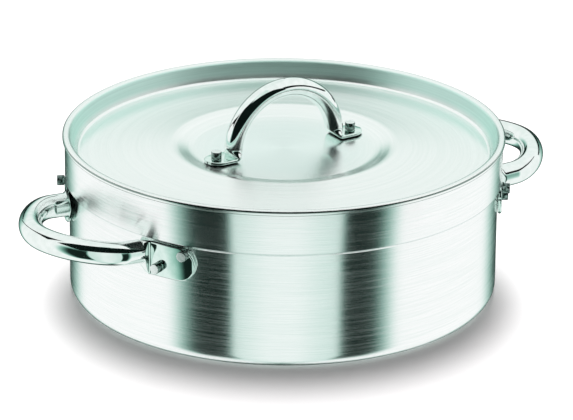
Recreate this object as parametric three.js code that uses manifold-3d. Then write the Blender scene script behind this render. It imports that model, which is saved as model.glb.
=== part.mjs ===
// A shallow casserole pot with two tubular side handles and a dished lid, in millimetres, +Z up.
// The origin is the middle of the underside, and the side handles lie along X.
import * as THREE from 'three';
import { mergeVertices } from 'three/addons/utils/BufferGeometryUtils.js';
import Module from 'manifold-3d';

const wasm = await Module();
wasm.setup();

// Pot
const POT_HEIGHT = 119.5;
const BAND_RADIUS = 160;
const BAND_HEIGHT = 31.4;
const STEP_OUT = 3;
const STEP_RISE = 2;
const STEP_ROUND = 0.8;
const WALL = 3;
const BASE_THICKNESS = 5;
const BASE_CORNER = 9;
const INNER_CORNER = 6;
const RIM_EDGE = 1.5;
const RIM_FLAT = 0.2;

// Lid
const SEAT_GAP = 0.3;
const LID_SHEET = 1.5;
const LIP_HEIGHT = 3.7;
const LIP_EDGE = 1.8;
const LID_DEPTH = 14.8;
const LID_WALL_TAPER = THREE.MathUtils.degToRad(17);
const LID_FILLET = 3;
const LID_CROWN = 5.9;
const LID_TURN = THREE.MathUtils.degToRad(2.85);
const RECESS_RADIUS = 80;
const RECESS_SLOPE = 12;
const RECESS_DEPTH = 4.2;
const RECESS_ROUND = 16;

// Side handles
const TUBE_DIAMETER = 17.2;
const HANDLE_REACH = 53.8;
const HANDLE_SPAN = 105.5;
const HANDLE_TURN = THREE.MathUtils.degToRad(2);
const GRIP_DEPTH = 46.2;
const GRIP_FULLNESS = 0.443;
const GRIP_RISE = 3.7;
const TUBE_LIFT = 3.6;
const TAB_LENGTH = 34.8;
const TAB_HEIGHT = 25.4;
const TAB_THICKNESS = 3;
const TAB_TOP_GAP = 0.3;
const TAB_OFFSET = 6.2;
const TAB_BEND = 2.5;
const TAB_FLATTEN = 5;

// Lid handle
const LID_TUBE_DIAMETER = 13.8;
const LID_HANDLE_SPAN = 87.8;
const LID_HANDLE_RISE = 53.7;
const LID_TAB_LENGTH = 20.6;
const LID_TAB_WIDTH = 20;
const LID_TAB_THICKNESS = 2.6;
const LID_TAB_BEND = 2.5;
const LID_TAB_FLATTEN = 6;

// Rivets
const RIVET_HEAD_DIAMETER = 7.5;
const RIVET_HEAD_HEIGHT = 5.3;
const RIVET_HEAD_EDGE = 0.5;
const RIVET_SHANK_DIAMETER = 5.6;
const RIVET_CLEARANCE = 0.3;
const RIVET_SEAT_GAP = 0.35;
const RIVET_INNER_DIAMETER = 12;
const RIVET_INNER_HEIGHT = 2.4;
const RIVET_INNER_EDGE = 1.5;
const RIVET_NEAR_BEND = 6.3;
const RIVET_END_MARGIN = 7.4;
const RIVET_LOWER_MARGIN = 7.6;
const RIVET_UPPER_MARGIN = 4.2;
const LID_RIVET_END_MARGIN = 8.7;

// Facets
const POT_FACETS = 60;
const RIVET_FACETS = 12;
const SECTION_POINTS = 12;
const CORNER_STEPS = 3;
const SHALLOW_CORNER_STEPS = 2;
const SMALL_CORNER_STEPS = 1;
const TAB_END_ANGLES = [15, 40, 65, 90].map(THREE.MathUtils.degToRad);
const TAB_STEPS = 3;
const BEND_STEPS = 4;
const LEG_STEPS = 7;
const GRIP_STEPS = 7;

// Sizes that follow from those above
const LOWER_RADIUS = BAND_RADIUS - STEP_OUT;
const STEP_TOP_Z = POT_HEIGHT - BAND_HEIGHT;
const STEP_FOOT_Z = STEP_TOP_Z - STEP_RISE;
const RIM_ROUND = WALL - RIM_EDGE - RIM_FLAT;
const LIP_TOP_Z = SEAT_GAP + LID_SHEET;
const LIP_RADIUS = BAND_RADIUS + SEAT_GAP + LID_SHEET;
const PLATE_EDGE_Z = LIP_TOP_Z - LID_DEPTH;
const PLATE_CROWN_Z = PLATE_EDGE_Z + LID_CROWN;
const RECESS_FLOOR_Z = PLATE_CROWN_Z - RECESS_DEPTH;
const TAB_MIDDLE_Z = STEP_FOOT_Z - TAB_TOP_GAP - TAB_HEIGHT / 2;
const TAB_FACE_RADIUS = LOWER_RADIUS + SEAT_GAP + TAB_THICKNESS;
const LEG_LINE_Y = HANDLE_SPAN / 2 + TAB_OFFSET;
const LID_TAB_TOP_Z = RECESS_FLOOR_Z + SEAT_GAP + LID_TAB_THICKNESS;
const LID_RIVET_OFFSET = LID_HANDLE_SPAN / 2 + LID_TAB_BEND + LID_TAB_LENGTH - LID_RIVET_END_MARGIN;

const X_AXIS = new THREE.Vector3(1, 0, 0);
const Y_AXIS = new THREE.Vector3(0, 1, 0);
const Z_AXIS = new THREE.Vector3(0, 0, 1);

const aluminium = { color: 0xd9e4e0, roughness: 0.34, metalness: 1 };
const lidAluminium = { color: 0xe2ebe8, roughness: 0.42, metalness: 1 };
const polishedSteel = { color: 0xc6d3cf, roughness: 0.12, metalness: 1 };
const rivetSteel = { color: 0xb4c2be, roughness: 0.2, metalness: 1 };

// An outline through the corners [radius, height, rounding, steps], with rounded corners as arcs.
function roundedOutline(corners) {
  const at = (i) => new THREE.Vector2(corners[i][0], corners[i][1]);
  return corners.flatMap(([, , rounding, steps], i) => {
    const corner = at(i);
    if (!rounding) return [corner];
    const back = at(i - 1).sub(corner).normalize();
    const ahead = at(i + 1).sub(corner).normalize();
    const halfAngle = Math.acos(back.dot(ahead)) / 2;
    const reach = rounding / Math.tan(halfAngle);
    const inward = back.clone().add(ahead).normalize();
    const centre = corner.clone().addScaledVector(inward, rounding / Math.sin(halfAngle));
    const start = corner.clone().addScaledVector(back, reach).sub(centre);
    const turn = Math.sign(back.cross(ahead)) * (2 * halfAngle - Math.PI);
    return Array.from({ length: steps + 1 }, (_, k) => {
      const spoke = start.clone().rotateAround(new THREE.Vector2(), (turn * k) / steps);
      return spoke.add(centre);
    });
  });
}

// The other face of a sheet: each point moves square to the outline by the sheet's thickness.
function offsetOutline(points, thickness) {
  return points.map((point, i) => {
    const before = points[Math.max(i - 1, 0)];
    const after = points[Math.min(i + 1, points.length - 1)];
    const arriving = (i > 0 ? point.clone().sub(before) : after.clone().sub(point)).normalize();
    const leaving = (after !== point ? after.clone().sub(point) : arriving.clone()).normalize();
    const along = arriving.clone().add(leaving).normalize();
    const square = new THREE.Vector2(along.y, -along.x);
    return point.clone().addScaledVector(square, thickness / along.dot(leaving));
  });
}

// A body turned about Z from an outline that starts and ends on the axis.
function turned(outline, facets) {
  return new THREE.LatheGeometry(outline, facets).rotateX(Math.PI / 2);
}

function solidOf(geometry) {
  const bare = geometry.clone();
  bare.deleteAttribute('normal');
  bare.deleteAttribute('uv');
  const merged = mergeVertices(bare);
  const corners = merged.index.array;
  const triangles = [];
  for (let i = 0; i < corners.length; i += 3) {
    const [a, b, c] = corners.slice(i, i + 3);
    if (a !== b && b !== c && c !== a) triangles.push(a, b, c);
  }
  const vertProperties = new Float32Array(merged.attributes.position.array);
  const triVerts = new Uint32Array(triangles);
  return new wasm.Manifold(new wasm.Mesh({ numProp: 3, vertProperties, triVerts }));
}

function geometryOf(solid) {
  const { vertProperties, triVerts } = solid.getMesh();
  const geometry = new THREE.BufferGeometry();
  geometry.setAttribute('position', new THREE.BufferAttribute(vertProperties, 3));
  geometry.setIndex(new THREE.BufferAttribute(triVerts, 1));
  geometry.computeVertexNormals();
  return geometry;
}

// A body with rivet holes, each given by a matrix that puts the drill's axis, +Z, in its place.
function drilled(geometry, places, depth) {
  const radius = RIVET_SHANK_DIAMETER / 2 + RIVET_CLEARANCE;
  const drill = new THREE.CylinderGeometry(radius, radius, depth, RIVET_FACETS).rotateX(Math.PI / 2);
  const cut = (solid, place) => solid.subtract(solidOf(drill.clone().applyMatrix4(place)));
  return geometryOf(places.reduce(cut, solidOf(geometry)));
}

function piece(name, geometry, finish) {
  const mesh = new THREE.Mesh(geometry, new THREE.MeshStandardMaterial(finish));
  mesh.name = name;
  return mesh;
}

function potOutline() {
  const bandInside = BAND_RADIUS - WALL;
  const lowerInside = LOWER_RADIUS - WALL;
  return roundedOutline([
    [0, 0],
    [LOWER_RADIUS, 0, BASE_CORNER, CORNER_STEPS],
    [LOWER_RADIUS, STEP_FOOT_Z, STEP_ROUND, SMALL_CORNER_STEPS],
    [BAND_RADIUS, STEP_TOP_Z, STEP_ROUND, SMALL_CORNER_STEPS],
    [BAND_RADIUS, POT_HEIGHT, RIM_EDGE, SMALL_CORNER_STEPS],
    [bandInside, POT_HEIGHT, RIM_ROUND, CORNER_STEPS],
    [bandInside, STEP_TOP_Z, STEP_ROUND, SMALL_CORNER_STEPS],
    [lowerInside, STEP_FOOT_Z, STEP_ROUND, SMALL_CORNER_STEPS],
    [lowerInside, BASE_THICKNESS, INNER_CORNER, CORNER_STEPS],
    [0, BASE_THICKNESS],
  ]);
}

// The lid's section, with heights from the rim's top. Its lip is turned down over the outside of the rim.
function lidOutline() {
  const lipRound = RIM_ROUND + SEAT_GAP + LID_SHEET;
  const lipCentre = new THREE.Vector2(BAND_RADIUS - WALL + RIM_ROUND, -RIM_ROUND);
  const wallSquare = new THREE.Vector2(-Math.cos(LID_WALL_TAPER), Math.sin(LID_WALL_TAPER));
  const wallPoint = lipCentre.clone().addScaledVector(wallSquare, lipRound);
  const wallRadius = (z) => wallPoint.x + (z - wallPoint.y) * Math.tan(LID_WALL_TAPER);
  const lipEndZ = LIP_TOP_Z - LIP_HEIGHT;
  const edgeRound = LID_SHEET / 2;
  const upper = roundedOutline([
    [0, RECESS_FLOOR_Z],
    [RECESS_RADIUS - RECESS_SLOPE, RECESS_FLOOR_Z, RECESS_ROUND, SHALLOW_CORNER_STEPS],
    [RECESS_RADIUS, PLATE_CROWN_Z, RECESS_ROUND, SHALLOW_CORNER_STEPS],
    [wallRadius(PLATE_EDGE_Z), PLATE_EDGE_Z, LID_FILLET, CORNER_STEPS],
    [wallRadius(LIP_TOP_Z), LIP_TOP_Z, lipRound, CORNER_STEPS],
    [LIP_RADIUS, LIP_TOP_Z, LIP_EDGE, CORNER_STEPS],
    [LIP_RADIUS, lipEndZ + edgeRound],
  ]);
  const lower = offsetOutline(upper, LID_SHEET);
  const edge = new THREE.Vector2(LIP_RADIUS - edgeRound, lipEndZ);
  return [...lower, edge, ...upper.reverse()];
}

// Stations along one half of a handle: the flat tab from its round end, the bend, then the tube.
function halfStations(tab, tabLength, tabHalfWidth, rest) {
  const stations = [];
  const add = (curve, t, travelled) => {
    const tangent = curve.getTangent(t);
    stations.push({ point: curve.getPoint(t), tangent, travelled });
  };
  const endRun = tabHalfWidth / tabLength;
  TAB_END_ANGLES.forEach((angle) => {
    const share = 1 - Math.cos(angle);
    add(tab, endRun * share, tabHalfWidth * share);
  });
  for (let k = 1; k <= TAB_STEPS; k += 1) {
    const t = THREE.MathUtils.lerp(endRun, 1, k / TAB_STEPS);
    add(tab, t, t * tabLength);
  }
  let start = tabLength;
  rest.forEach(([curve, steps]) => {
    const length = curve.getLength();
    for (let k = 1; k <= steps; k += 1) add(curve, k / steps, start + (length * k) / steps);
    start += length;
  });
  return stations;
}

// A whole handle: the half and its mirror image, joined at the top of the grip.
function mirroredStations(half, mirror) {
  const other = half.slice(0, -1).reverse().map((station) => ({
    ...station,
    point: station.point.clone().multiply(mirror),
    tangent: station.tangent.clone().multiply(mirror).negate(),
  }));
  return [...half, ...other];
}

// A tube through stations in the plane of across and up, flattened where a station is wider than deep.
// Its middle lies inside the line of the stations by their inset.
function lofted(stations, across, up) {
  const wide = new THREE.Vector3().crossVectors(across, up);
  const angles = Array.from({ length: SECTION_POINTS }, (_, i) => ((i + 0.5) / SECTION_POINTS) * 2 * Math.PI);
  const place = ({ x, y }) => across.clone().multiplyScalar(x).addScaledVector(up, y);
  const vertices = [];
  stations.forEach(({ point, tangent, halfDepth, halfWidth, lift, inset }) => {
    const square = place(new THREE.Vector2(-tangent.y, tangent.x));
    const middle = place(point).addScaledVector(wide, lift).addScaledVector(square, -inset);
    angles.forEach((angle) => {
      const flat = Math.sign(Math.sin(angle)) * (halfWidth - halfDepth);
      const vertex = middle.clone().addScaledVector(square, halfDepth * Math.cos(angle));
      vertices.push(vertex.addScaledVector(wide, flat + halfDepth * Math.sin(angle)));
    });
  });
  const triangles = [];
  const last = (stations.length - 1) * SECTION_POINTS;
  for (let i = 0; i < SECTION_POINTS; i += 1) {
    const next = (i + 1) % SECTION_POINTS;
    for (let ring = 0; ring < last; ring += SECTION_POINTS) {
      const above = ring + SECTION_POINTS;
      triangles.push(ring + i, ring + next, above + i, ring + next, above + next, above + i);
    }
    if (i > 0 && next > 0) triangles.push(0, next, i, last, last + i, last + next);
  }
  const geometry = new THREE.BufferGeometry().setFromPoints(vertices);
  return geometry.setIndex(triangles);
}

// The depth and width of a handle's section: round in the tube, flat in the tab, narrowing at the tab's end.
function sized(stations, tube, flat) {
  return stations.map((station) => {
    const s = station.travelled;
    const round = THREE.MathUtils.smoothstep(s, flat.until, flat.until + flat.run);
    const fromEnd = Math.min(s / (flat.width / 2), 1);
    const tabHalfWidth = (flat.width / 2) * Math.sqrt(1 - (1 - fromEnd) ** 2);
    return {
      ...station,
      halfDepth: THREE.MathUtils.lerp(flat.thickness / 2, tube / 2, round),
      halfWidth: THREE.MathUtils.lerp(tabHalfWidth, tube / 2, round),
      round,
    };
  });
}

// The bend where a side handle's leg turns into its tab, which lies along the wall.
// The tab's face lies outside of the tube's middle.
function sideBend() {
  const y = LEG_LINE_Y + TAB_BEND;
  const x = Math.sqrt((TAB_FACE_RADIUS + TAB_BEND) ** 2 - y ** 2);
  return { x, y, angle: Math.atan2(y, x) };
}

// The rivets of one side handle, as an angle from the handle's middle and a height.
function sideRivets() {
  const { angle } = sideBend();
  const lower = {
    level: 'lower',
    angle: angle + RIVET_NEAR_BEND / TAB_FACE_RADIUS,
    z: TAB_MIDDLE_Z - TAB_HEIGHT / 2 + RIVET_LOWER_MARGIN,
  };
  const upper = {
    level: 'upper',
    angle: angle + (TAB_LENGTH - RIVET_END_MARGIN) / TAB_FACE_RADIUS,
    z: TAB_MIDDLE_Z + TAB_HEIGHT / 2 - RIVET_UPPER_MARGIN,
  };
  return [lower, upper].flatMap((rivet) => [rivet, { ...rivet, angle: -rivet.angle }]);
}

// A rivet's place on the wall: its axis points out of the wall at that angle and height.
function rivetPlace({ angle, z }, radius) {
  const outward = new THREE.Matrix4().makeRotationY(Math.PI / 2);
  const shifted = new THREE.Matrix4().makeTranslation(radius, 0, z).multiply(outward);
  return new THREE.Matrix4().makeRotationZ(angle).multiply(shifted);
}

function sideHandle() {
  const { x, y, angle } = sideBend();
  const tipX = BAND_RADIUS + HANDLE_REACH - TUBE_DIAMETER / 2 + TAB_OFFSET;
  const legEnd = new THREE.Vector2(tipX - GRIP_DEPTH, LEG_LINE_Y);
  const face = TAB_FACE_RADIUS;
  const tab = new THREE.EllipseCurve(0, 0, face, face, angle + TAB_LENGTH / face, angle, true);
  const bend = new THREE.EllipseCurve(x, y, TAB_BEND, TAB_BEND, angle + Math.PI, 1.5 * Math.PI, false);
  const leg = new THREE.LineCurve(new THREE.Vector2(x, legEnd.y), legEnd);
  const grip = new THREE.CubicBezierCurve(
    legEnd,
    new THREE.Vector2(legEnd.x + GRIP_FULLNESS * GRIP_DEPTH, legEnd.y),
    new THREE.Vector2(tipX, GRIP_FULLNESS * legEnd.y),
    new THREE.Vector2(tipX, 0),
  );
  const rest = [[bend, BEND_STEPS], [leg, LEG_STEPS], [grip, GRIP_STEPS]];
  const half = halfStations(tab, TAB_LENGTH, TAB_HEIGHT / 2, rest);
  const flat = {
    until: TAB_LENGTH + bend.getLength() / 2,
    run: TAB_FLATTEN,
    width: TAB_HEIGHT,
    thickness: TAB_THICKNESS,
  };
  const stations = sized(mirroredStations(half, new THREE.Vector2(1, -1)), TUBE_DIAMETER, flat);
  stations.forEach((station) => {
    const outward = Math.max(0, (station.point.x - x) / (tipX - x));
    station.lift = TAB_MIDDLE_Z + TUBE_LIFT * station.round + GRIP_RISE * outward;
    station.inset = THREE.MathUtils.lerp(TAB_THICKNESS / 2, TAB_OFFSET, station.round);
  });
  const places = sideRivets().map((rivet) => rivetPlace(rivet, TAB_FACE_RADIUS));
  return drilled(lofted(stations, X_AXIS, Y_AXIS), places, TAB_HEIGHT);
}

function lidHandle() {
  const tabZ = LID_TAB_TOP_Z - LID_TAB_THICKNESS / 2;
  const legX = LID_HANDLE_SPAN / 2;
  const springZ = tabZ + LID_TAB_BEND;
  const archHeight = RECESS_FLOOR_Z + LID_HANDLE_RISE - LID_TUBE_DIAMETER / 2 - springZ;
  const bendX = legX + LID_TAB_BEND;
  const tab = new THREE.LineCurve(
    new THREE.Vector2(bendX + LID_TAB_LENGTH, tabZ),
    new THREE.Vector2(bendX, tabZ),
  );
  const round = LID_TAB_BEND;
  const bend = new THREE.EllipseCurve(bendX, springZ, round, round, 1.5 * Math.PI, Math.PI, true);
  const arch = new THREE.EllipseCurve(0, springZ, legX, archHeight, 0, Math.PI / 2, false);
  const rest = [[bend, BEND_STEPS], [arch, LEG_STEPS + GRIP_STEPS]];
  const half = halfStations(tab, LID_TAB_LENGTH, LID_TAB_WIDTH / 2, rest);
  const flat = {
    until: LID_TAB_LENGTH + bend.getLength() / 2,
    run: LID_TAB_FLATTEN,
    width: LID_TAB_WIDTH,
    thickness: LID_TAB_THICKNESS,
  };
  const stations = sized(mirroredStations(half, new THREE.Vector2(-1, 1)), LID_TUBE_DIAMETER, flat);
  stations.forEach((station) => {
    station.lift = 0;
    station.inset = 0;
  });
  return drilled(lofted(stations, X_AXIS, Z_AXIS), lidRivetPlaces(tabZ), LID_TAB_WIDTH);
}

function lidRivetPlaces(z) {
  return [-1, 1].map((side) => new THREE.Matrix4().makeTranslation(side * LID_RIVET_OFFSET, 0, z));
}

// A rivet through a stack of sheets, from the stack's outer face at z = 0: a tall plain head outside,
// the shank, and a low rounded head inside.
function rivet(stack) {
  const shank = RIVET_SHANK_DIAMETER / 2;
  const head = RIVET_HEAD_DIAMETER / 2;
  const inner = RIVET_INNER_DIAMETER / 2;
  const headTop = RIVET_SEAT_GAP + RIVET_HEAD_HEIGHT;
  const innerSeat = -stack - RIVET_SEAT_GAP;
  const outline = roundedOutline([
    [0, innerSeat - RIVET_INNER_HEIGHT],
    [inner, innerSeat - RIVET_INNER_HEIGHT, RIVET_INNER_EDGE, SMALL_CORNER_STEPS],
    [inner, innerSeat],
    [shank, innerSeat],
    [shank, RIVET_SEAT_GAP],
    [head, RIVET_SEAT_GAP],
    [head, headTop, RIVET_HEAD_EDGE, SMALL_CORNER_STEPS],
    [0, headTop],
  ]);
  return turned(outline, RIVET_FACETS);
}

// The pot with its side handles, which are both riveted a little forward of the middle.
function buildPot() {
  const pot = new THREE.Group();
  const sides = [
    ['right', -HANDLE_TURN, 'rear', 'front'],
    ['left', Math.PI + HANDLE_TURN, 'front', 'rear'],
  ];
  const holes = sides.flatMap(([, turn]) => (
    sideRivets().map((hole) => rivetPlace({ ...hole, angle: hole.angle + turn }, LOWER_RADIUS - WALL / 2))
  ));
  const shell = drilled(turned(potOutline(), POT_FACETS), holes, RIVET_INNER_DIAMETER);
  pot.add(piece('pot_body', shell, aluminium));
  const handleGeometry = sideHandle();
  const rivetGeometry = rivet(TAB_THICKNESS + SEAT_GAP + WALL);
  sides.forEach(([side, turn, positiveEnd, negativeEnd]) => {
    const arm = new THREE.Group();
    arm.rotation.z = turn;
    arm.add(piece(`side_handle_${side}`, handleGeometry, polishedSteel));
    sideRivets().forEach((hole) => {
      const end = hole.angle > 0 ? positiveEnd : negativeEnd;
      const mesh = piece(`rivet_${side}_${end}_${hole.level}`, rivetGeometry, rivetSteel);
      mesh.applyMatrix4(rivetPlace(hole, TAB_FACE_RADIUS));
      arm.add(mesh);
    });
    pot.add(arm);
  });
  return pot;
}

// The lid, laid on the pot a little turned.
function buildLid() {
  const lid = new THREE.Group();
  lid.position.z = POT_HEIGHT;
  lid.rotation.z = LID_TURN;
  const shell = drilled(turned(lidOutline(), POT_FACETS), lidRivetPlaces(RECESS_FLOOR_Z), LID_TAB_WIDTH);
  lid.add(piece('lid', shell, lidAluminium));
  lid.add(piece('lid_handle', lidHandle(), polishedSteel));
  const rivetGeometry = rivet(LID_TAB_THICKNESS + SEAT_GAP + LID_SHEET);
  lidRivetPlaces(LID_TAB_TOP_Z).forEach((place, i) => {
    const mesh = piece(`lid_rivet_${['left', 'right'][i]}`, rivetGeometry, rivetSteel);
    mesh.applyMatrix4(place);
    lid.add(mesh);
  });
  return lid;
}

const casserole = new THREE.Group();
casserole.add(buildPot(), buildLid());

export default casserole;
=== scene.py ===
"""Dresses the casserole pot: smooth metal pieces over the solids, their finishes, and a small studio."""

import math

import bmesh
import bpy
from mathutils import Matrix, Vector
from mathutils.geometry import interpolate_bezier


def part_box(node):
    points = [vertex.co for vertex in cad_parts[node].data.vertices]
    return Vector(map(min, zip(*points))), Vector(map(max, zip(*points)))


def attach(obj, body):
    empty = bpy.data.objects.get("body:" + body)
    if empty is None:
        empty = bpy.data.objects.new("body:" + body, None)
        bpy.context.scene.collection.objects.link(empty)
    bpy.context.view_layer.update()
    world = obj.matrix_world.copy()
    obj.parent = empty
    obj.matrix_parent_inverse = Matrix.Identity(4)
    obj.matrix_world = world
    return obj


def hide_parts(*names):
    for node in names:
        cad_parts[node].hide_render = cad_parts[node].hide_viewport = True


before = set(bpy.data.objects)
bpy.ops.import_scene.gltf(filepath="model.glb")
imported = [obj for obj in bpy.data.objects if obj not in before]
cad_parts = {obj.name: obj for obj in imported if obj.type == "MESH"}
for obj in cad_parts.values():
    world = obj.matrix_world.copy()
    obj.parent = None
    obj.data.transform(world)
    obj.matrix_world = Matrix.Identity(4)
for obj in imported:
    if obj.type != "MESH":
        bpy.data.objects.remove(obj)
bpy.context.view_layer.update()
POT_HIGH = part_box("pot_body")[1]
LID_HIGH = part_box("lid")[1]
ARCH_LOW, ARCH_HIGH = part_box("lid_handle")

bl_info = {
    "name": "Casserole Pot",
    "version": (1, 0, 0),
    "blender": (4, 5, 0),
    "location": "3D View > Sidebar > Casserole",
    "description": "Builds a casserole pot with a dished lid and tubular handles",
    "category": "Object",
}

MM = 0.001
UP = Vector((0, 0, 1))
WHITE = (1, 1, 1, 1)

# Seated pieces stand this far apart, and points closer than the second value are one.
SEAT_GAP = 0.3 * MM
MERGE = 1e-6

# Faces round the pot and lid, a rivet, a tube, a rounded corner and the lip's lower end.
TURNED_STEPS = 240
RIVET_STEPS = 48
TUBE_SIDES = 40
CORNER_STEPS = 10
LIP_END_STEPS = 4

# Stations along the parts of a handle's line.
TAB_STEPS = 12
SIDE_BEND_STEPS = 16
LEG_STEPS = 24
GRIP_POINTS = 48
ARCH_BEND_STEPS = 12
BOW_STEPS = 48

# A rivet's face that points along it more than this belongs to one of its ends.
END_FACING = 0.9

# Waves per metre along and across the wall's streaks and the lid's rings, and in the steel's fine marks.
FINE_STREAKS = (24, 1700)
BROAD_STREAKS = (10, 600)
LID_RINGS = (6, 700)
TUBE_MARKS = 180
RIVET_MARKS = 420

# Roughness of each metal at its smoothest and roughest, and how much more the lid's sloping wall has.
WALL_ROUGHNESS = (0.16, 0.25)
LID_ROUGHNESS = (0.22, 0.27)
LID_WALL_EXTRA = 0.18
TUBE_ROUGHNESS = (0.03, 0.07)
RIVET_SIDE_ROUGHNESS = (0.14, 0.26)
RIVET_END_ROUGHNESS = (0.28, 0.4)

# How much the grain of the wall and lid draws out reflections, and its turn as a share of a full one.
WALL_GRAIN = 0.9
LID_GRAIN = 0.6
GRAIN_TURN = 0.25

# The camera's sensor in millimetres and its far limit, and half the floor's width, in metres.
SENSOR_WIDTH = 36
CLIP_END = 50
FLOOR_HALF = 6

# Corners of the black cards, in metres: to the right and up for those before and behind the pot,
# and towards the camera and up for those at its sides.
CARD_BEFORE = (
    (-0.2, 0.123), (0.42, 0.123), (0.42, 0.3), (0.26, 0.47),
    (-0.08, 0.47), (-0.08, 0.62), (-0.4, 0.62), (-0.4, 0.3),
)
CARD_LEFT = (
    (0.15, 0.27), (0.05, 0.285), (0, 0.274), (-0.07, 0.242), (-0.17, 0.168), (-0.3, 0.08),
    (-0.3, 0.1), (-0.17, 0.198), (-0.07, 0.28), (0, 0.342), (0.05, 0.38), (0.15, 0.52),
)
CARD_RIGHT = (
    (0.22, 0.19), (0, 0.215), (-0.3, 0.232), (-0.3, 0.252), (0, 0.275), (0.1, 0.305), (0.22, 0.39),
)
CARD_BEHIND_LEFT = ((-0.4, 0.115), (-0.19, 0.115), (-0.19, 0.15), (-0.4, 0.15))
CARD_BEHIND_RIGHT = ((0.12, 0.115), (0.4, 0.115), (0.4, 0.15), (0.12, 0.15))

# Soft edges of the tent's two dark flags, in degrees away from the camera's side and up from level,
# and the share of the light that they take.
RIGHT_FLAG = {"near": (29.5, 33.5), "far": (49, 66), "top": (10, 30)}
LEFT_FLAG = {"near": (25.5, 29.5), "far": (47, 65), "top": (15, 40)}
FLAG_FOOT = (-60, -48)
FLAG_SHARE = 0.98

# The shares of red and blue that the tent loses where it is dark, and the warm tint of the fill light.
RED_LOSS = 0.52
BLUE_LOSS = 0.17
FILL_TINT = (1.2, 1.0, 1.05)


def length(name, description, default):
    """A length in metres that a user can change."""
    return bpy.props.FloatProperty(
        name=name, description=description, default=default, min=0.0, subtype="DISTANCE", unit="LENGTH"
    )


def colour(name, description, default):
    """A linear colour that a user can change."""
    return bpy.props.FloatVectorProperty(
        name=name, description=description, default=default, size=3, min=0.0, max=1.0, subtype="COLOR"
    )


def share(name, description, default):
    """A number from 0 to 1 that a user can change."""
    return bpy.props.FloatProperty(
        name=name, description=description, default=default, min=0.0, max=1.0, subtype="FACTOR"
    )


def angle(name, description, degrees):
    """An angle that a user can change."""
    return bpy.props.FloatProperty(
        name=name, description=description, default=math.radians(degrees), subtype="ANGLE", unit="ROTATION"
    )


def measure(name, description, default, unit):
    """A number with a unit of its own that a user can change."""
    return bpy.props.FloatProperty(name=name, description=description, default=default, min=0.0, unit=unit)


class PotShape(bpy.types.PropertyGroup):
    """The pot's sizes"""

    height: length("Height", "Underside to the top of the rim", POT_HIGH.z)
    band_radius: length("Band radius", "Outside of the band under the rim", POT_HIGH.x)
    band_height: length("Band height", "Rim down to the step in the wall", 31.4 * MM)
    step_out: length("Step", "How far the band stands out from the lower wall", 3 * MM)
    step_rise: length("Step rise", "Height of the sloping step", 2 * MM)
    step_round: length("Step rounding", "Rounding of the step's edges", 0.8 * MM)
    wall: length("Wall", "Thickness of the wall", 3 * MM)
    base: length("Base", "Thickness of the base", 5 * MM)
    corner: length("Base corner", "Outside rounding between base and wall", 9 * MM)
    inner_corner: length("Inner corner", "Inside rounding between base and wall", 6 * MM)
    rim_outer: length("Outer rim", "Rounding of the rim's outer edge", 1.5 * MM)
    rim_inner: length("Inner rim", "Rounding of the rim's inner edge", 1.3 * MM)


class LidShape(bpy.types.PropertyGroup):
    """The lid's sizes"""

    top: length("Lip top", "Underside of the pot to the top of the lip", LID_HIGH.z)
    radius: length("Lip radius", "Outside of the lip", LID_HIGH.x)
    sheet: length("Sheet", "Thickness of the sheet", 1.5 * MM)
    depth: length("Depth", "Lip down to the edge of the plate", 14.8 * MM)
    taper: angle("Wall taper", "Slope of the lid's wall from upright", 17)
    lip_round: length("Lip rounding", "Upper rounding between lip and wall", 3.1 * MM)
    lip_edge: length("Lip edge", "Upper rounding of the lip's outer edge", 1.8 * MM)
    lip_drop: length("Lip drop", "How far the lip is turned down over the rim", 3.7 * MM)
    lip_end_round: length("Lip end", "Rounding of the lip's lower end", 0.6 * MM)
    fillet: length("Fillet", "Rounding between wall and plate", 3 * MM)
    crown: length("Crown", "Rise of the plate from its edge to the recess", 5.9 * MM)
    recess_radius: length("Recess radius", "Upper edge of the round recess", 80 * MM)
    recess_slope: length("Recess slope", "Width of the recess's sloping edge", 12 * MM)
    recess_depth: length("Recess depth", "How far the middle lies below the plate", 4.2 * MM)
    recess_round: length("Recess rounding", "Rounding at the recess's edge and foot", 16 * MM)


class HandleShape(bpy.types.PropertyGroup):
    """The side handles' sizes"""

    tube: length("Tube", "Diameter of the tube", 17.2 * MM)
    reach: length("Reach", "Pot's axis to the outside of the grip", 213.8 * MM)
    span: length("Span", "Distance between the two legs", 105.5 * MM)
    turn: angle("Turn", "How far forward of the middle the handles sit", 2)
    grip_depth: length("Grip depth", "Length of the curved grip, outward", 46.2 * MM)
    fullness: share("Grip fullness", "How square the grip's curve is", 0.443)
    grip_rise: length("Grip rise", "How much higher the grip is than the legs", 3.7 * MM)
    tube_lift: length("Tube lift", "How much higher the tube is than the tabs", 3.6 * MM)
    tab_length: length("Tab length", "Bend to the end of the tab", 34.8 * MM)
    tab_height: length("Tab height", "Height of the flattened tab", 25.4 * MM)
    tab_thickness: length("Tab thickness", "Thickness of the flattened tab", 3 * MM)
    tab_middle: length("Tab middle", "Height of the tab's middle line", 73.1 * MM)
    bend: length("Bend", "Radius of the bend between leg and tab", 2.5 * MM)
    flatten: length("Flattening", "Length over which the tube flattens", 5 * MM)
    tab_offset: length("Tab offset", "How far outside of the tube's middle the tab's face lies", 6.2 * MM)


class ArchShape(bpy.types.PropertyGroup):
    """The lid handle's sizes"""

    tube: length("Tube", "Diameter of the tube", 13.8 * MM)
    top: length("Top", "Underside of the pot to the top of the arch", ARCH_HIGH.z)
    turn: angle("Turn", "How far the lid is turned on the pot", 2.85)
    span: length("Span", "Distance between the two legs", 87.8 * MM)
    tab_length: length("Tab length", "Bend to the end of the tab", 20.6 * MM)
    tab_width: length("Tab width", "Width of the flattened tab", 20 * MM)
    tab_thickness: length("Tab thickness", "Thickness of the flattened tab", 2.6 * MM)
    bend: length("Bend", "Radius of the bend between leg and tab", 2.5 * MM)
    flatten: length("Flattening", "Length over which the tube flattens", 6 * MM)


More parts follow.
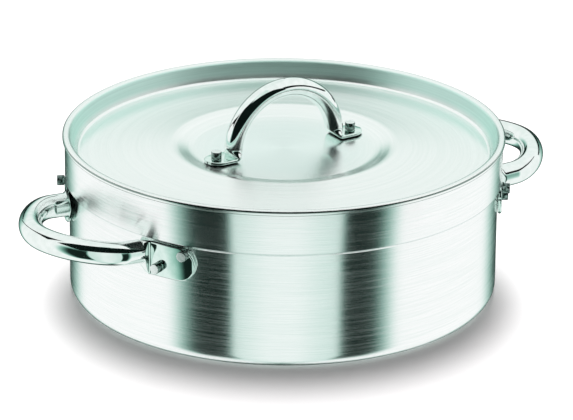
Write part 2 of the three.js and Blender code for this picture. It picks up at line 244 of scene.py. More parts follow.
class RivetShape(bpy.types.PropertyGroup):
    """The rivets' sizes"""

    head: length("Head", "Diameter of the plain outer head", 7.5 * MM)
    head_height: length("Head height", "Height of the outer head", 5.3 * MM)
    head_round: length("Head rounding", "Rounding of the outer head's edge", 0.5 * MM)
    shank: length("Shank", "Diameter of the shank", 5.6 * MM)
    inner: length("Inner head", "Diameter of the low inner head", 12 * MM)
    inner_height: length("Inner head height", "Height of the low inner head", 2.4 * MM)
    inner_round: length("Inner head rounding", "Rounding of the inner head's edge", 1.5 * MM)


class MetalLook(bpy.types.PropertyGroup):
    """The metals' colours, each between a dark and a light shade"""

    wall_dark: colour("Wall, dark", "Pot's wall between the streaks", (0.88, 0.93, 0.915))
    wall_light: colour("Wall, light", "Pot's wall on the streaks", (0.965, 0.985, 0.98))
    # Painted shade: a dark line along the band's lower edge at the step.
    step_shade_line: colour("Step edge", "Dull edge along the step", (0.72, 0.8, 0.78))
    plate_dark: colour("Plate, dark", "Lid's plate", (0.885, 0.935, 0.915))
    plate_light: colour("Plate, light", "Lid's plate", (0.935, 0.97, 0.955))
    # Painted shade: the recess is painted a little darker and tealer than the plate.
    recess_shade_dark: colour("Recess, dark", "Lid's recess", (0.83, 0.925, 0.9))
    recess_shade_light: colour("Recess, light", "Lid's recess", (0.875, 0.955, 0.935))
    # Painted shade: the lid's sloping wall inside the dish is painted darker.
    slope_shade_dark: colour("Lid wall, dark", "Lid's sloping wall", (0.59, 0.835, 0.765))
    slope_shade_light: colour("Lid wall, light", "Lid's sloping wall", (0.65, 0.895, 0.825))
    # Painted reflection and shade: the lip's rounded edge is painted dark as a reflection, and its lower end
    # as the shade in the gap under it.
    lip_shade_dark: colour("Worn lip, dark", "Edge and end of the lip", (0.2, 0.28, 0.25))
    lip_shade_light: colour("Worn lip, light", "Edge and end of the lip", (0.34, 0.44, 0.4))
    tube_dark: colour("Tube, dark", "Handles' tubes", (0.8, 0.88, 0.85))
    tube_light: colour("Tube, light", "Handles' tubes", (0.88, 0.94, 0.92))
    # Painted shade: the flat tabs are painted darker than the tubes.
    tab_dark: colour("Tab, dark", "Handles' flat tabs", (0.63, 0.8, 0.74))
    tab_light: colour("Tab, light", "Handles' flat tabs", (0.75, 0.89, 0.84))
    # Painted shadow: the tabs' edges where they meet the wall or the lid are painted near black, standing in
    # for the shade in those gaps.
    seam_shade_dark: colour("Seam, dark", "Grime along the tabs' edges", (0.01, 0.02, 0.018))
    seam_shade_light: colour("Seam, light", "Grime along the tabs' edges", (0.03, 0.05, 0.045))
    # Painted shade: the rivets' round sides are painted near black, standing in for their shade and dark
    # reflections; their flat ends keep the steel's light tone.
    stud_side_shade_dark: colour("Rivet side, dark", "Round sides of the rivets", (0.04, 0.06, 0.055))
    stud_side_shade_light: colour("Rivet side, light", "Round sides of the rivets", (0.32, 0.42, 0.39))
    stud_end_dark: colour("Rivet end, dark", "Flat ends of the rivets", (0.82, 0.89, 0.87))
    stud_end_light: colour("Rivet end, light", "Flat ends of the rivets", (0.92, 0.97, 0.955))


class StudioLook(bpy.types.PropertyGroup):
    """The camera and the light round the pot"""

    azimuth: angle("Camera azimuth", "Camera's direction round the pot", -30.56)
    distance: length("Camera distance", "Pot's base to the camera", 3.0)
    elevation: angle("Camera elevation", "Camera's height angle seen from the pot's base", 22.53)
    pitch: angle("Camera pitch", "How far the camera looks down", 21.48)
    yaw: angle("Camera yaw", "How far the camera looks to the side", 0.05)
    roll: angle("Camera roll", "How far the camera is tipped", 0.55)
    lens: measure("Lens", "Focal length in millimetres", 254.4, "CAMERA")
    fill: share("Fill light", "Even light from all round on the floor", 0.17)
    lamp_height: length("Softbox height", "Floor to the softbox", 2.2)
    lamp_back: length("Softbox back", "How far the softbox hangs behind the pot", 0.5)
    lamp_width: length("Softbox width", "Softbox across the picture", 0.85)
    lamp_depth: length("Softbox depth", "Softbox along the line of sight", 1.45)
    lamp_power: measure("Softbox power", "Power in watts", 66, "POWER")
    floor_colour: colour("Floor", "Colour of the floor", (0.93, 0.93, 0.93))
    fade_start: length("Fade start", "Pot's axis to where the floor starts to fade into white", 0.7)
    fade_end: length("Fade end", "Pot's axis to where the floor is all white", 1.6)
    card_colour: colour("Cards", "Colour of the black cards", (0.004, 0.008, 0.007))
    card_front: length("Front card", "Pot's axis forward to the black card before it", 0.22)
    card_side: length("Side cards", "Pot's axis sideways to the narrow black cards", 0.4)
    card_back: length("Back cards", "Pot's axis back to the low black cards", 0.3)


SETTINGS = {
    "pot_shape": PotShape,
    "lid_shape": LidShape,
    "handle_shape": HandleShape,
    "arch_shape": ArchShape,
    "rivet_shape": RivetShape,
    "metal_look": MetalLook,
    "studio_look": StudioLook,
}


class Wire:
    """One output of a shader node; arithmetic on it adds Math nodes."""

    def __init__(self, shader, socket):
        self.shader = shader
        self.socket = socket

    def math(self, operation, *values):
        """The result of a Math node on these values."""
        return self.shader.node("ShaderNodeMath", {"operation": operation}, dict(enumerate(values)))

    def __add__(self, other):
        return self.math("ADD", self, other)

    __radd__ = __add__

    def __sub__(self, other):
        return self.math("SUBTRACT", self, other)

    def __rsub__(self, other):
        return self.math("SUBTRACT", other, self)

    def __mul__(self, other):
        return self.math("MULTIPLY", self, other)

    __rmul__ = __mul__

    def __pow__(self, other):
        return self.math("POWER", self, other)

    def __abs__(self):
        return self.math("ABSOLUTE", self)

    def degrees(self):
        """An angle in degrees."""
        return self.math("DEGREES", self)

    def ramp(self, start, end, low=0.0, high=1.0):
        """A smooth step from low at start to high at end."""
        settings = {"interpolation_type": "SMOOTHSTEP"}
        stops = {"Value": self, "From Min": start, "From Max": end, "To Min": low, "To Max": high}
        return self.shader.node("ShaderNodeMapRange", settings, stops)

    def fall(self, start, end):
        """A smooth step from 1 at start to 0 at end."""
        return self.ramp(start, end, 1.0, 0.0)


class Shader:
    """A node tree that is filled from empty."""

    def __init__(self, tree):
        self.tree = tree
        tree.nodes.clear()

    def node(self, kind, settings=None, inputs=None, output=0):
        """Adds a node with its settings, then its socket values or links, and returns one output."""
        made = self.tree.nodes.new(kind)
        for name, value in (settings or {}).items():
            setattr(made, name, value)
        for name, value in (inputs or {}).items():
            if isinstance(value, Wire):
                self.tree.links.new(value.socket, made.inputs[name])
            else:
                made.inputs[name].default_value = value
        return Wire(self, made.outputs[output]) if made.outputs else None

    def place(self):
        """Object coordinates."""
        return self.node("ShaderNodeTexCoord", None, None, "Object")

    def light_path(self, kind):
        """1 for one kind of ray, and 0 for the others."""
        return self.node("ShaderNodeLightPath", None, None, kind)

    def axes(self, vector):
        """The three parts of a vector."""
        first = self.node("ShaderNodeSeparateXYZ", None, {0: vector})
        return [Wire(self, socket) for socket in first.socket.node.outputs]

    def along(self, vector, direction):
        """How far a vector points in a direction."""
        vectors = {0: vector, 1: direction}
        return self.node("ShaderNodeVectorMath", {"operation": "DOT_PRODUCT"}, vectors, "Value")

    def point(self, x, y, z):
        """A vector of three values."""
        return self.node("ShaderNodeCombineXYZ", None, {0: x, 1: y, 2: z})

    def noise(self, vector, scale, detail=2.0):
        """Noise from 0 to 1."""
        return self.node("ShaderNodeTexNoise", None, {"Vector": vector, "Scale": scale, "Detail": detail})

    def bump(self, height, strength, distance):
        """A normal that follows a height."""
        inputs = {"Strength": strength, "Distance": distance, "Height": height}
        return self.node("ShaderNodeBump", None, inputs)

    def mixed(self, factor, first, second):
        """A colour between two colours."""
        return self.node("ShaderNodeMix", {"data_type": "RGBA"}, {"Factor": factor, 6: first, 7: second}, 2)

    def tint(self, factor, dark, light):
        """A colour between a dark and a light one."""
        return self.mixed(factor, (*dark, 1), (*light, 1))

    def finish(self, surface):
        """Ends a material with its surface."""
        self.node("ShaderNodeOutputMaterial", None, {"Surface": surface})

    def metal(self, **inputs):
        """Ends a material as bare metal; an underscore in a name stands for a space."""
        named = {name.replace("_", " "): value for name, value in inputs.items()}
        self.finish(self.node("ShaderNodeBsdfPrincipled", None, {"Metallic": 1.0, **named}))


def blend(first, second, factor):
    """A value between two values."""
    return first + (second - first) * factor


def from_axis(x, y):
    """How far a place lies from the pot's axis."""
    return (x * x + y * y) ** 0.5


def new_material(name):
    """A material with an empty shader."""
    made = bpy.data.materials.new(name)
    made.use_nodes = True
    return made, Shader(made.node_tree)


def brushed_wall(look, step_top):
    """Aluminium brushed round the pot in fine streaks, with a painted dark line of shade along the step's
    edge.
    """
    made, shader = new_material("brushed_wall_aluminium")
    x, y, z = shader.axes(shader.place())

    def streaks(along, across):
        """Noise drawn out round the pot, with so many waves per metre along and across the brushing."""
        return shader.noise(shader.point(x * along, y * along, z * across), 1.0)

    fine = streaks(*FINE_STREAKS)
    streak = fine * 0.7 + streaks(*BROAD_STREAKS) * 0.3
    bright = shader.tint(fine.ramp(0.35, 0.65), look.wall_dark, look.wall_light)
    # Painted shade: a thin band at the step's edge is painted darker.
    above = z.ramp(step_top - 0.6 * MM, step_top - 0.2 * MM)
    edge = above * z.fall(step_top + 0.3 * MM, step_top + 0.9 * MM)
    shader.metal(
        Base_Color=shader.mixed(edge, bright, (*look.step_shade_line, 1)),
        Roughness=streak.ramp(0.3, 0.7, *WALL_ROUGHNESS),
        Anisotropic=WALL_GRAIN,
        Anisotropic_Rotation=GRAIN_TURN,
        Normal=shader.bump(streak, 0.02, 0.2 * MM),
    )
    return made


def spun_lid(look, recess, wall_foot, wall_top, lip_top, lip_end):
    """Aluminium with the faint rings that spinning leaves.

    The recess is painted a little darker and tealer as painted shade, the sloping wall between two radii
    darker still and rougher, and the lip's rounded edge is painted dark as a painted reflection and its lower
    end as painted shade.
    """
    made, shader = new_material("spun_lid_aluminium")
    x, y, z = shader.axes(shader.place())
    radius = from_axis(x, y)
    along, across = LID_RINGS
    rings = shader.noise(shader.point(x * along, y * along, radius * across + z * across), 1.0, 3.0)
    tone = rings.ramp(0.3, 0.7)
    plate = shader.tint(tone, look.plate_dark, look.plate_light)
    # Painted shade: a darker, tealer tone for the recess, which fades into the plate towards its edge below.
    floor = shader.tint(tone, look.recess_shade_dark, look.recess_shade_light)
    # Painted shade: the sloping wall is painted darker; it is also rougher below.
    wall = shader.tint(tone, look.slope_shade_dark, look.slope_shade_light)
    # Painted reflection on the lip's rounded edge and painted shade at its lower end.
    lip_shade = shader.tint(tone, look.lip_shade_dark, look.lip_shade_light)
    on_wall = radius.ramp(wall_foot, wall_foot + 2 * MM) * radius.fall(wall_top, wall_top + 2 * MM)
    # Where the lip is painted dark: a band on its rounded edge, and its lower end.
    above = z.ramp(lip_top - 1.9 * MM, lip_top - 1.5 * MM)
    edge = above * z.fall(lip_top - 0.9 * MM, lip_top - 0.5 * MM)
    end = z.fall(lip_end + 0.3 * MM, lip_end + 0.8 * MM)
    on_lip = (edge + end) * radius.ramp(wall_top + 3 * MM, wall_top + 4 * MM)
    flat = shader.mixed(radius.ramp(recess - 40 * MM, recess), floor, plate)
    shader.metal(
        Base_Color=shader.mixed(on_lip, shader.mixed(on_wall, flat, wall), lip_shade),
        Roughness=rings.ramp(0.25, 0.75, *LID_ROUGHNESS) + on_wall * LID_WALL_EXTRA,
        Anisotropic=LID_GRAIN,
        Anisotropic_Rotation=GRAIN_TURN,
        Normal=shader.bump(rings, 0.05, 0.3 * MM),
    )
    return made


def polished_tube(look, seam_top, seam_foot, tab_radius, tab_top):
    """Polished steel, painted darker as shade on the flat tabs, inside a radius or below a height, and
    painted near black as shadow in their seams.
    """
    made, shader = new_material("polished_tube_steel")
    place = shader.place()
    x, y, z = shader.axes(place)
    marks = shader.noise(place, TUBE_MARKS, 3.0)
    tone = marks.ramp(0.3, 0.7)
    steel = shader.tint(tone, look.tube_dark, look.tube_light)
    # Painted shade: the darker tone of the flat tabs.
    shaded_tab = shader.tint(tone, look.tab_dark, look.tab_light)
    # Painted shadow in the seams along the tabs' edges.
    seam_shade = shader.tint(tone, look.seam_shade_dark, look.seam_shade_light)
    near = from_axis(x, y).fall(tab_radius, tab_radius + 1 * MM)
    low = z.fall(tab_top, tab_top + 1 * MM)
    # Where the shadow is painted: the side tabs' top edges under the step, and a line along the tabs' lower
    # edges.
    upper = z.ramp(seam_top - 0.9 * MM, seam_top - 0.3 * MM) * near
    lower = z.fall(seam_foot + 0.4 * MM, seam_foot + 1.0 * MM)
    shader.metal(
        Base_Color=shader.mixed(upper + lower, shader.mixed(near + low, steel, shaded_tab), seam_shade),
        Roughness=marks.ramp(0.2, 0.8, *TUBE_ROUGHNESS),
    )
    return made


def rivet_metal(name, dark, light, roughness):
    """Steel of the rivets between two given shades; the round sides get dark ones as painted shade."""
    made, shader = new_material(name)
    marks = shader.noise(shader.place(), RIVET_MARKS)
    shader.metal(
        Base_Color=shader.tint(marks.ramp(0.3, 0.7), dark, light),
        Roughness=marks.ramp(0.2, 0.8, *roughness),
    )
    return made


def new_object(name, edit, *materials):
    """Turns an edited mesh into an object of the scene."""
    mesh = bpy.data.meshes.new(name)
    edit.to_mesh(mesh)
    edit.free()
    for material in materials:
        mesh.materials.append(material)
    made = bpy.data.objects.new(name, mesh)
    bpy.context.scene.collection.objects.link(made)
    return made


def finished_piece(name, edit, body, node, slot, *materials):
    """Turns an edited mesh into a smooth piece that stands for a CAD node and rides on its body."""
    bmesh.ops.remove_doubles(edit, verts=edit.verts, dist=MERGE)
    bmesh.ops.recalc_face_normals(edit, faces=edit.faces)
    for face in edit.faces:
        face.smooth = True
    made = new_object(name, edit, *materials)
    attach(made, body)
    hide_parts(node)


def rounded_outline(corners):
    """A closed line in the XZ plane through corners (radius, height, rounding), its corners rounded off."""
    edit = bmesh.new()
    points = [Vector((r, 0.0, z)) for r, z, _ in corners]
    verts = [edit.verts.new(point) for point in points]
    edit.faces.new(verts)
    for i, (_, _, rounding) in enumerate(corners):
        if rounding == 0:
            continue
        back = points[i - 1] - points[i]
        ahead = points[(i + 1) % len(points)] - points[i]
        reach = rounding / math.tan(back.angle(ahead) / 2)
        bmesh.ops.bevel(
            edit, geom=[verts[i]], offset=reach, offset_type="OFFSET", segments=CORNER_STEPS, profile=0.5,
            affect="VERTICES", material=-1,
        )
    bmesh.ops.delete(edit, geom=edit.faces[:], context="FACES_ONLY")
    return edit


def spin_round(edit, steps):
    """Spins a line in the XZ plane once round Z into a skin whose faces all agree."""
    bmesh.ops.spin(
        edit, geom=edit.verts[:] + edit.edges[:], cent=(0, 0, 0), axis=UP, dvec=(0, 0, 0),
        angle=2 * math.pi, steps=steps, use_merge=True, use_duplicate=False,
    )
    bmesh.ops.remove_doubles(edit, verts=edit.verts, dist=MERGE)
    bmesh.ops.recalc_face_normals(edit, faces=edit.faces)


def spun(corners, steps):
    """A body of revolution about Z from a closed outline with one side on the axis."""
    edit = rounded_outline(corners)
    on_axis = [e for e in edit.edges if all(abs(v.co.x) < MERGE for v in e.verts)]
    bmesh.ops.delete(edit, geom=on_axis, context="EDGES")
    spin_round(edit, steps)
    return edit


def lofted(stations):
    """A closed tube through stations of (middle, square, wide, half depth, half width)."""
    edit = bmesh.new()
    ring = bmesh.ops.create_circle(edit, cap_ends=False, radius=1.0, segments=TUBE_SIDES)["verts"]
    turns = [2 * math.pi * (i + 0.5) / TUBE_SIDES for i in range(TUBE_SIDES)]

    def place(verts, station):
        """Moves a ring to a station."""
        middle, square, wide, depth, width = station
        for vert, turn in zip(verts, turns):
            flat = math.copysign(width - depth, math.sin(turn))
            vert.co = middle + square * depth * math.cos(turn) + wide * (flat + depth * math.sin(turn))

    place(ring, stations[0])
    bmesh.ops.contextual_create(edit, geom=edit.edges[:])
    edges = edit.edges[:]
    for station in stations[1:]:
        grown = bmesh.ops.extrude_edge_only(edit, edges=edges)["geom"]
        edges = [item for item in grown if isinstance(item, bmesh.types.BMEdge)]
        edges = [e for e in edges if all(v in grown for v in e.verts)]
        ring = [item for item in grown if isinstance(item, bmesh.types.BMVert)]
        place(ring, station)
    bmesh.ops.contextual_create(edit, geom=edges)
    return edit


def arc(centre, radius, start, end, count):
    """Points along an arc in the plane."""
    turns = [start + (end - start) * i / count for i in range(count + 1)]
    return [Vector((centre[0] + radius * math.cos(t), centre[1] + radius * math.sin(t))) for t in turns]


def half_line(*stretches):
    """Joins stretches of points that meet end to end."""
    joined = list(stretches[0])
    for stretch in stretches[1:]:
        joined += stretch[1:]
    return joined


def whole_line(half, mirror):
    """A half and its mirror image as (point, tangent, distance from the nearer end)."""
    travelled = [0.0]
    for a, b in zip(half, half[1:]):
        travelled.append(travelled[-1] + (b - a).length)
    other = [Vector((p.x * mirror[0], p.y * mirror[1])) for p in reversed(half[:-1])]
    points = half + other
    distances = travelled + travelled[-2::-1]
    tangents = []
    for i in range(len(points)):
        step = points[min(i + 1, len(points) - 1)] - points[max(i - 1, 0)]
        tangents.append(step.normalized())
    return list(zip(points, tangents, distances))


def smooth_step(value, start, end):
    """0 before start, 1 after end, and smooth between them."""
    t = min(max((value - start) / (end - start), 0.0), 1.0)
    return t * t * (3 - 2 * t)


def flattened(distance, tube, tab_width, tab_thickness, flat_until, flatten):
    """The share of roundness, half depth and half width of a tube that ends in a flat round-ended tab."""
    round_share = smooth_step(distance, flat_until, flat_until + flatten)
    from_end = min(distance / (tab_width / 2), 1.0)
    tab_half = max(tab_width / 2 * math.sqrt(1 - (1 - from_end) ** 2), tab_thickness / 2)
    depth = tab_thickness / 2 + (tube - tab_thickness) / 2 * round_share
    width = tab_half + (tube / 2 - tab_half) * round_share
    return round_share, depth, width


def end_steps(half_width, stretch):
    """Shares of a stretch of tab that follow its round end closely, then evenly."""
    turns = [math.pi / 2 * i / TAB_STEPS for i in range(TAB_STEPS + 1)]
    quarter = [half_width * (1 - math.cos(turn)) for turn in turns]
    rest = [half_width + (stretch - half_width) * i / TAB_STEPS for i in range(1, TAB_STEPS + 1)]
    return [step / stretch for step in quarter + rest]


class CASSEROLE_OT_pot(bpy.types.Operator):
    """Turn the pot with its stepped wall"""

    bl_idname = "casserole.pot"
    bl_label = "Pot"

    def execute(self, context):
        pot = context.scene.pot_shape
        step_top = pot.height - pot.band_height
        step_foot = step_top - pot.step_rise
        lower = pot.band_radius - pot.step_out
        edit = spun([
            (0, 0, 0),
            (lower, 0, pot.corner),
            (lower, step_foot, pot.step_round),
            (pot.band_radius, step_top, pot.step_round),
            (pot.band_radius, pot.height, pot.rim_outer),
            (pot.band_radius - pot.wall, pot.height, pot.rim_inner),
            (pot.band_radius - pot.wall, step_top, pot.step_round),
            (lower - pot.wall, step_foot, pot.step_round),
            (lower - pot.wall, pot.base, pot.inner_corner),
            (0, pot.base, 0),
        ], TURNED_STEPS)
        metal = brushed_wall(context.scene.metal_look, step_top)
        finished_piece("pot_shell", edit, "pot", "pot_body", "pot", metal)
        return {"FINISHED"}


class CASSEROLE_OT_lid(bpy.types.Operator):
    """Spin the lid and give its sheet a thickness"""

    bl_idname = "casserole.lid"
    bl_label = "Lid"

    def execute(self, context):
        lid = context.scene.lid_shape
        pot = context.scene.pot_shape
        edge = lid.top - lid.depth
        crown = edge + lid.crown
        floor = crown - lid.recess_depth
        rim_round = lid.lip_round - lid.sheet - SEAT_GAP
        middle = Vector((pot.band_radius - pot.wall + rim_round, pot.height - rim_round))
        wall = middle + Vector((-math.cos(lid.taper), math.sin(lid.taper))) * lid.lip_round
        wall_edge = wall.x + (edge - wall.y) * math.tan(lid.taper)
        wall_top = wall.x + (lid.top - wall.y) * math.tan(lid.taper)
        lip_end = lid.top - lid.lip_drop
        # The outline is closed far below the lid, and that part is cut away once the corners are rounded.
        below = -0.05
        edit = rounded_outline([
            (0, floor, 0),
            (lid.recess_radius - lid.recess_slope, floor, lid.recess_round),
            (lid.recess_radius, crown, lid.recess_round),
            (wall_edge, edge, lid.fillet),
            (wall_top, lid.top, lid.lip_round),
            (lid.radius, lid.top, lid.lip_edge),
            (lid.radius, lip_end, 0),
            (lid.radius, below, 0),
            (0, below, 0),
        ])
        spare = [v for v in edit.verts if v.co.z < 0]
        bmesh.ops.delete(edit, geom=spare, context="VERTS")
        spin_round(edit, TURNED_STEPS)
        if sum(face.normal.z for face in edit.faces) < 0:
            bmesh.ops.reverse_faces(edit, faces=edit.faces)
        bmesh.ops.solidify(edit, geom=edit.faces[:], thickness=lid.sheet)
        rim = [e for e in edit.edges if all(abs(v.co.z - lip_end) < MERGE for v in e.verts)]
        rim = [e for e in rim if abs(e.verts[0].co.xy.length - e.verts[1].co.xy.length) < MERGE]
        bmesh.ops.bevel(
            edit, geom=rim, offset=lid.lip_end_round, offset_type="OFFSET", segments=LIP_END_STEPS,
            profile=0.5, affect="EDGES", material=-1,
        )
        look = context.scene.metal_look
        metal = spun_lid(look, lid.recess_radius, wall_edge, wall.x, lid.top, lip_end)
        finished_piece("lid_shell", edit, "lid", "lid", "lid", metal)
        return {"FINISHED"}


class CASSEROLE_OT_side_handles(bpy.types.Operator):
    """Bend the two side handles and flatten their ends along the wall"""

    bl_idname = "casserole.side_handles"
    bl_label = "Side handles"

    def execute(self, context):
        handle = context.scene.handle_shape
        pot = context.scene.pot_shape
        face = pot.band_radius - pot.step_out + SEAT_GAP + handle.tab_thickness
        leg = handle.span / 2 + handle.tab_offset
        bend_y = leg + handle.bend
        bend_x = math.sqrt((face + handle.bend) ** 2 - bend_y**2)
        turn = math.atan2(bend_y, bend_x)
        sweep = handle.tab_length / face
        tab_half = handle.tab_height / 2
        shares = end_steps(tab_half, handle.tab_length)
        tab = [arc((0, 0), face, turn + sweep * (1 - s), 0, 1)[0] for s in shares]
        bend = arc((bend_x, bend_y), handle.bend, turn + math.pi, 1.5 * math.pi, SIDE_BEND_STEPS)
        tip = handle.reach - handle.tube / 2 + handle.tab_offset
        leg_end = Vector((tip - handle.grip_depth, leg))
        leg_start = Vector((bend_x, leg))
        straight = [leg_start.lerp(leg_end, i / LEG_STEPS) for i in range(LEG_STEPS + 1)]
        reach_out = Vector((leg_end.x + handle.fullness * handle.grip_depth, leg))
        reach_back = Vector((tip, handle.fullness * leg))
        curve = interpolate_bezier(leg_end, reach_out, reach_back, Vector((tip, 0)), GRIP_POINTS)
        grip = [p.xy for p in curve]
        line = whole_line(half_line(tab, bend, straight, grip), (1, -1))
        flat_until = handle.tab_length + handle.bend * (math.pi / 2 - turn) / 2
        stations = []
        for point, tangent, distance in line:
            round_share, depth, width = flattened(
                distance, handle.tube, handle.tab_height, handle.tab_thickness, flat_until, handle.flatten
            )
            outward = max(0.0, (point.x - bend_x) / (tip - bend_x))
            z = handle.tab_middle + handle.tube_lift * round_share + handle.grip_rise * outward
            square = Vector((-tangent.y, tangent.x, 0))
            inset = blend(handle.tab_thickness / 2, handle.tab_offset, round_share)
            middle = Vector((point.x, point.y, z)) - square * inset
            stations.append((middle, square, UP, depth, width))
        seams = (handle.tab_middle + tab_half, handle.tab_middle - tab_half)
        steel = polished_tube(context.scene.metal_look, *seams, face + 1 * MM, 0.0)
        for side, turned in (("right", -handle.turn), ("left", math.pi + handle.turn)):
            edit = lofted(stations)
            bmesh.ops.rotate(edit, verts=edit.verts, cent=(0, 0, 0), matrix=Matrix.Rotation(turned, 3, "Z"))
            finished_piece(f"{side}_loop", edit, "pot", f"side_handle_{side}", "handles", steel)
        return {"FINISHED"}


class CASSEROLE_OT_lid_handle(bpy.types.Operator):
    """Bend the lid's arched handle and flatten its ends"""

    bl_idname = "casserole.lid_handle"
    bl_label = "Lid handle"

    def execute(self, context):
        arch = context.scene.arch_shape
        tab_z = ARCH_LOW.z + arch.tab_thickness / 2
        leg = arch.span / 2
        spring = tab_z + arch.bend
        rise = arch.top - arch.tube / 2 - spring
        bend_x = leg + arch.bend
        shares = end_steps(arch.tab_width / 2, arch.tab_length)
        tab = [Vector((bend_x + arch.tab_length * (1 - s), tab_z)) for s in shares]
        bend = arc((bend_x, spring), arch.bend, 1.5 * math.pi, math.pi, ARCH_BEND_STEPS)
        quarter = arc((0, 0), 1, 0, math.pi / 2, BOW_STEPS)
        bow = [Vector((p.x * leg, spring + p.y * rise)) for p in quarter]
        line = whole_line(half_line(tab, bend, bow), (-1, 1))
        flat_until = arch.tab_length + arch.bend * math.pi / 4
        stations = []
        for point, tangent, distance in line:
            _, depth, width = flattened(
                distance, arch.tube, arch.tab_width, arch.tab_thickness, flat_until, arch.flatten
            )
            square = Vector((-tangent.y, 0, tangent.x))
            stations.append((Vector((point.x, 0, point.y)), square, Vector((0, -1, 0)), depth, width))
        edit = lofted(stations)
        bmesh.ops.rotate(edit, verts=edit.verts, cent=(0, 0, 0), matrix=Matrix.Rotation(arch.turn, 3, "Z"))
        tab_top = ARCH_LOW.z + arch.tab_thickness + 0.4 * MM
        steel = polished_tube(context.scene.metal_look, arch.top, ARCH_LOW.z, 0.0, tab_top)
        finished_piece("lid_arch", edit, "lid", "lid_handle", "handles", steel)
        return {"FINISHED"}


class CASSEROLE_OT_rivets(bpy.types.Operator):
    """Set the rivets of all the handles"""

    bl_idname = "casserole.rivets"
    bl_label = "Rivets"

    def execute(self, context):
        look = context.scene.metal_look
        # Painted shade on the rivets' round sides; their ends are plain steel.
        shaded_side_tones = (look.stud_side_shade_dark, look.stud_side_shade_light)
        end_shades = (look.stud_end_dark, look.stud_end_light)
        side = rivet_metal("rivet_side_shaded_steel", *shaded_side_tones, RIVET_SIDE_ROUGHNESS)
        end = rivet_metal("rivet_end_steel", *end_shades, RIVET_END_ROUGHNESS)
        for node in sorted(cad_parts):
            if "rivet" not in node:
                continue
            on_lid = node.startswith("lid")
            verts = [v.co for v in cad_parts[node].data.vertices]
            middle = sum(verts, Vector()) / len(verts)
            outward = UP if on_lid else Vector((middle.x, middle.y, 0)).normalized()
            along = [co.dot(outward) for co in verts]
            edit = self.rivet(context.scene.rivet_shape, max(along) - min(along))
            for face in edit.faces:
                face.material_index = 1 if abs(face.normal.z) > END_FACING else 0
            foot = middle - outward * (middle.dot(outward) - min(along))
            turn = outward.to_track_quat("Z", "Y").to_matrix().to_4x4()
            bmesh.ops.transform(edit, matrix=Matrix.Translation(foot) @ turn, verts=edit.verts)
            name = node.replace("rivet", "stud")
            finished_piece(name, edit, "lid" if on_lid else "pot", node, "rivets", side, end)
        return {"FINISHED"}

    @staticmethod
    def rivet(shape, whole):
        """One rivet along Z from its inner head at 0."""
        return spun([
            (0, 0, 0),
            (shape.inner / 2, 0, shape.inner_round),
            (shape.inner / 2, shape.inner_height, 0),
            (shape.shank / 2, shape.inner_height, 0),
            (shape.shank / 2, whole - shape.head_height, 0),
            (shape.head / 2, whole - shape.head_height, 0),
            (shape.head / 2, whole, shape.head_round),
            (0, whole, 0),
        ], RIVET_STEPS)


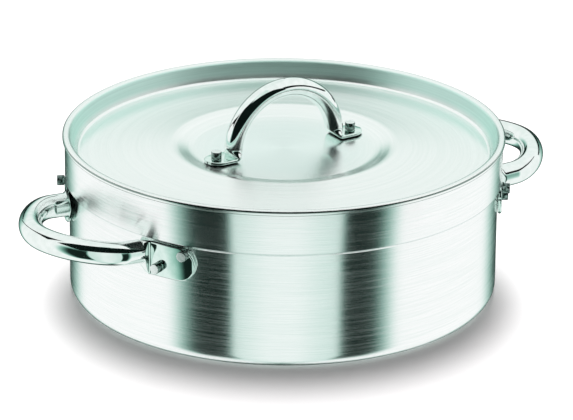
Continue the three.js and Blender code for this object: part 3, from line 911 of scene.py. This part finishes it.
class CASSEROLE_OT_studio(bpy.types.Operator):
    """Lay the floor, light it, and set the camera"""

    bl_idname = "casserole.studio"
    bl_label = "Studio"

    def execute(self, context):
        look = context.scene.studio_look
        forward = Vector((math.sin(look.azimuth), -math.cos(look.azimuth), 0))
        right = Vector((math.cos(look.azimuth), math.sin(look.azimuth), 0))
        self.floor(look)
        self.surroundings(context, look, forward, right)
        self.cards(look, forward, right)
        self.lamp(context, look, forward)
        self.camera(context, look)
        context.scene.view_settings.view_transform = "Standard"
        return {"FINISHED"}

    @staticmethod
    def floor(look):
        """A plain pale floor that fades into the white backdrop, and that the shiny metal doesn't mirror."""
        edit = bmesh.new()
        bmesh.ops.create_grid(edit, x_segments=1, y_segments=1, size=FLOOR_HALF)
        material, shader = new_material("studio_floor_paint")
        x, y, _ = shader.axes(shader.place())
        far = from_axis(x, y).ramp(look.fade_start, look.fade_end)
        paint = shader.node("ShaderNodeBsdfDiffuse", None, {"Color": (*look.floor_colour, 1)})
        white = shader.node("ShaderNodeEmission", None, {"Color": WHITE, "Strength": 1.0})
        shader.finish(shader.node("ShaderNodeMixShader", None, {0: far, 1: paint, 2: white}))
        floor = new_object("studio_floor", edit, material)
        floor.visible_glossy = False

    @staticmethod
    def surroundings(context, look, forward, right):
        """A pale tent with two dark upright flags and a dark low back, which only the metal mirrors.

        The camera sees white in its place, and the floor gets an even fill. Angles are in degrees: the turn
        is 0 on the camera's side and grows to the right, and the tilt is 0 at the level.
        """
        world = bpy.data.worlds.new("studio_tent")
        world.use_nodes = True
        world.cycles.sampling_method = "NONE"
        shader = Shader(world.node_tree)
        ray = shader.node("ShaderNodeTexCoord", None, None, "Generated")
        side = shader.along(ray, right)
        turn = side.math("ARCTAN2", side, shader.along(ray, forward)).degrees()
        up = shader.along(ray, UP)
        tilt = up.math("ARCSINE", up).degrees()
        ahead = abs(turn)
        front = ahead.ramp(5, 26, 0.94, 0.84) * tilt.ramp(-86, -70, 0.5, 1.0)
        back = tilt.ramp(2, 20, 0.04, 0.97)
        light = blend(front, blend(1.0, back, ahead.ramp(135, 165)), ahead.ramp(40, 48))

        def flag(away, edges):
            """Where a flag hangs: 1 on it, and 0 beside and above it."""
            return away.ramp(*edges["near"]) * away.fall(*edges["far"]) * tilt.fall(*edges["top"])

        flags = flag(turn, RIGHT_FLAG) + flag(-1 * turn, LEFT_FLAG)
        light = light * (1.0 - flags * tilt.ramp(*FLAG_FOOT) * FLAG_SHARE)

        def dimmed(loss):
            """The light of one colour, which loses up to this share more where the tent is dark."""
            return light * (light * light * loss + (1 - loss))

        tent = shader.point(dimmed(RED_LOSS), light, dimmed(BLUE_LOSS))
        fill = (*(look.fill * part for part in FILL_TINT), 1)
        unseen = shader.mixed(shader.light_path("Is Glossy Ray"), fill, tent)
        seen = shader.mixed(shader.light_path("Is Camera Ray"), unseen, WHITE)
        surface = shader.node("ShaderNodeBackground", None, {"Color": seen, "Strength": 1.0})
        shader.node("ShaderNodeOutputWorld", None, {"Surface": surface})
        context.scene.world = world

    @staticmethod
    def cards(look, forward, right):
        """Black cards that only the shiny metal mirrors.

        One stands close before the pot, a narrow one hangs at each side, and two low ones are behind it.
        """
        outlines = (
            [(x, look.card_front, z) for x, z in CARD_BEFORE],
            [(-look.card_side, y, z) for y, z in CARD_LEFT],
            [(look.card_side, y, z) for y, z in CARD_RIGHT],
            [(x, -look.card_back, z) for x, z in CARD_BEHIND_LEFT],
            [(x, -look.card_back, z) for x, z in CARD_BEHIND_RIGHT],
        )
        edit = bmesh.new()
        for outline in outlines:
            corners = [right * x + forward * y + UP * z for x, y, z in outline]
            edit.faces.new([edit.verts.new(corner) for corner in corners])
        material, shader = new_material("black_cards_paint")
        shader.finish(shader.node("ShaderNodeBsdfDiffuse", None, {"Color": (*look.card_colour, 1)}))
        cards = new_object("black_cards", edit, material)
        cards.visible_camera = False
        cards.visible_diffuse = False
        cards.visible_shadow = False

    @staticmethod
    def lamp(context, look, forward):
        """A softbox high behind the pot; the pot and its lid cast the soft shadow forward."""
        data = bpy.data.lights.new("overhead_softbox", "AREA")
        data.shape = "ELLIPSE"
        data.size = look.lamp_width
        data.size_y = look.lamp_depth
        data.energy = look.lamp_power
        made = bpy.data.objects.new("overhead_softbox", data)
        made.location = UP * look.lamp_height - forward * look.lamp_back
        made.rotation_euler = (-made.location).to_track_quat("-Z", "Y").to_euler()
        made.visible_glossy = False
        context.scene.collection.objects.link(made)
        casters = bpy.data.collections.new("shadow_casters")
        for name in ("pot_shell", "lid_shell"):
            casters.objects.link(bpy.data.objects[name])
        made.light_linking.blocker_collection = casters

    @staticmethod
    def camera(context, look):
        """The camera at the photograph's angle."""
        back = math.cos(look.elevation) * look.distance
        ahead = Vector((
            math.sin(look.yaw) * math.cos(look.pitch),
            math.cos(look.yaw) * math.cos(look.pitch),
            -math.sin(look.pitch),
        ))
        level = Vector((math.cos(look.yaw), -math.sin(look.yaw), 0))
        above = level.cross(ahead)
        right = level * math.cos(look.roll) + above * math.sin(look.roll)
        up = above * math.cos(look.roll) - level * math.sin(look.roll)
        axes = Matrix((right, up, -ahead)).transposed().to_4x4()
        place = Matrix.Translation((0, -back, math.sin(look.elevation) * look.distance))
        data = bpy.data.cameras.new("photo_camera")
        data.sensor_width = SENSOR_WIDTH
        data.lens = look.lens
        data.clip_end = CLIP_END
        made = bpy.data.objects.new("photo_camera", data)
        made.matrix_world = Matrix.Rotation(look.azimuth, 4, "Z") @ place @ axes
        context.scene.collection.objects.link(made)
        context.scene.camera = made


OPERATORS = (
    CASSEROLE_OT_pot,
    CASSEROLE_OT_lid,
    CASSEROLE_OT_side_handles,
    CASSEROLE_OT_lid_handle,
    CASSEROLE_OT_rivets,
    CASSEROLE_OT_studio,
)


class CASSEROLE_PT_pieces(bpy.types.Panel):
    """Lists the pieces of the casserole pot"""

    bl_label = "Casserole pot"
    bl_space_type = "VIEW_3D"
    bl_region_type = "UI"
    bl_category = "Casserole"

    def draw(self, context):
        for operator in OPERATORS:
            self.layout.operator(operator.bl_idname)


CLASSES = (*SETTINGS.values(), *OPERATORS, CASSEROLE_PT_pieces)


def register():
    """Adds the classes, and the settings to the scene."""
    for each in CLASSES:
        bpy.utils.register_class(each)
    for name, group in SETTINGS.items():
        setattr(bpy.types.Scene, name, bpy.props.PointerProperty(type=group))


def unregister():
    """Takes away what register added."""
    for name in SETTINGS:
        delattr(bpy.types.Scene, name)
    for each in reversed(CLASSES):
        bpy.utils.unregister_class(each)


def main():
    """Builds every piece and the studio."""
    register()
    bpy.ops.casserole.pot()
    bpy.ops.casserole.lid()
    bpy.ops.casserole.side_handles()
    bpy.ops.casserole.lid_handle()
    bpy.ops.casserole.rivets()
    bpy.ops.casserole.studio()


if __name__ == "__main__":
    main()
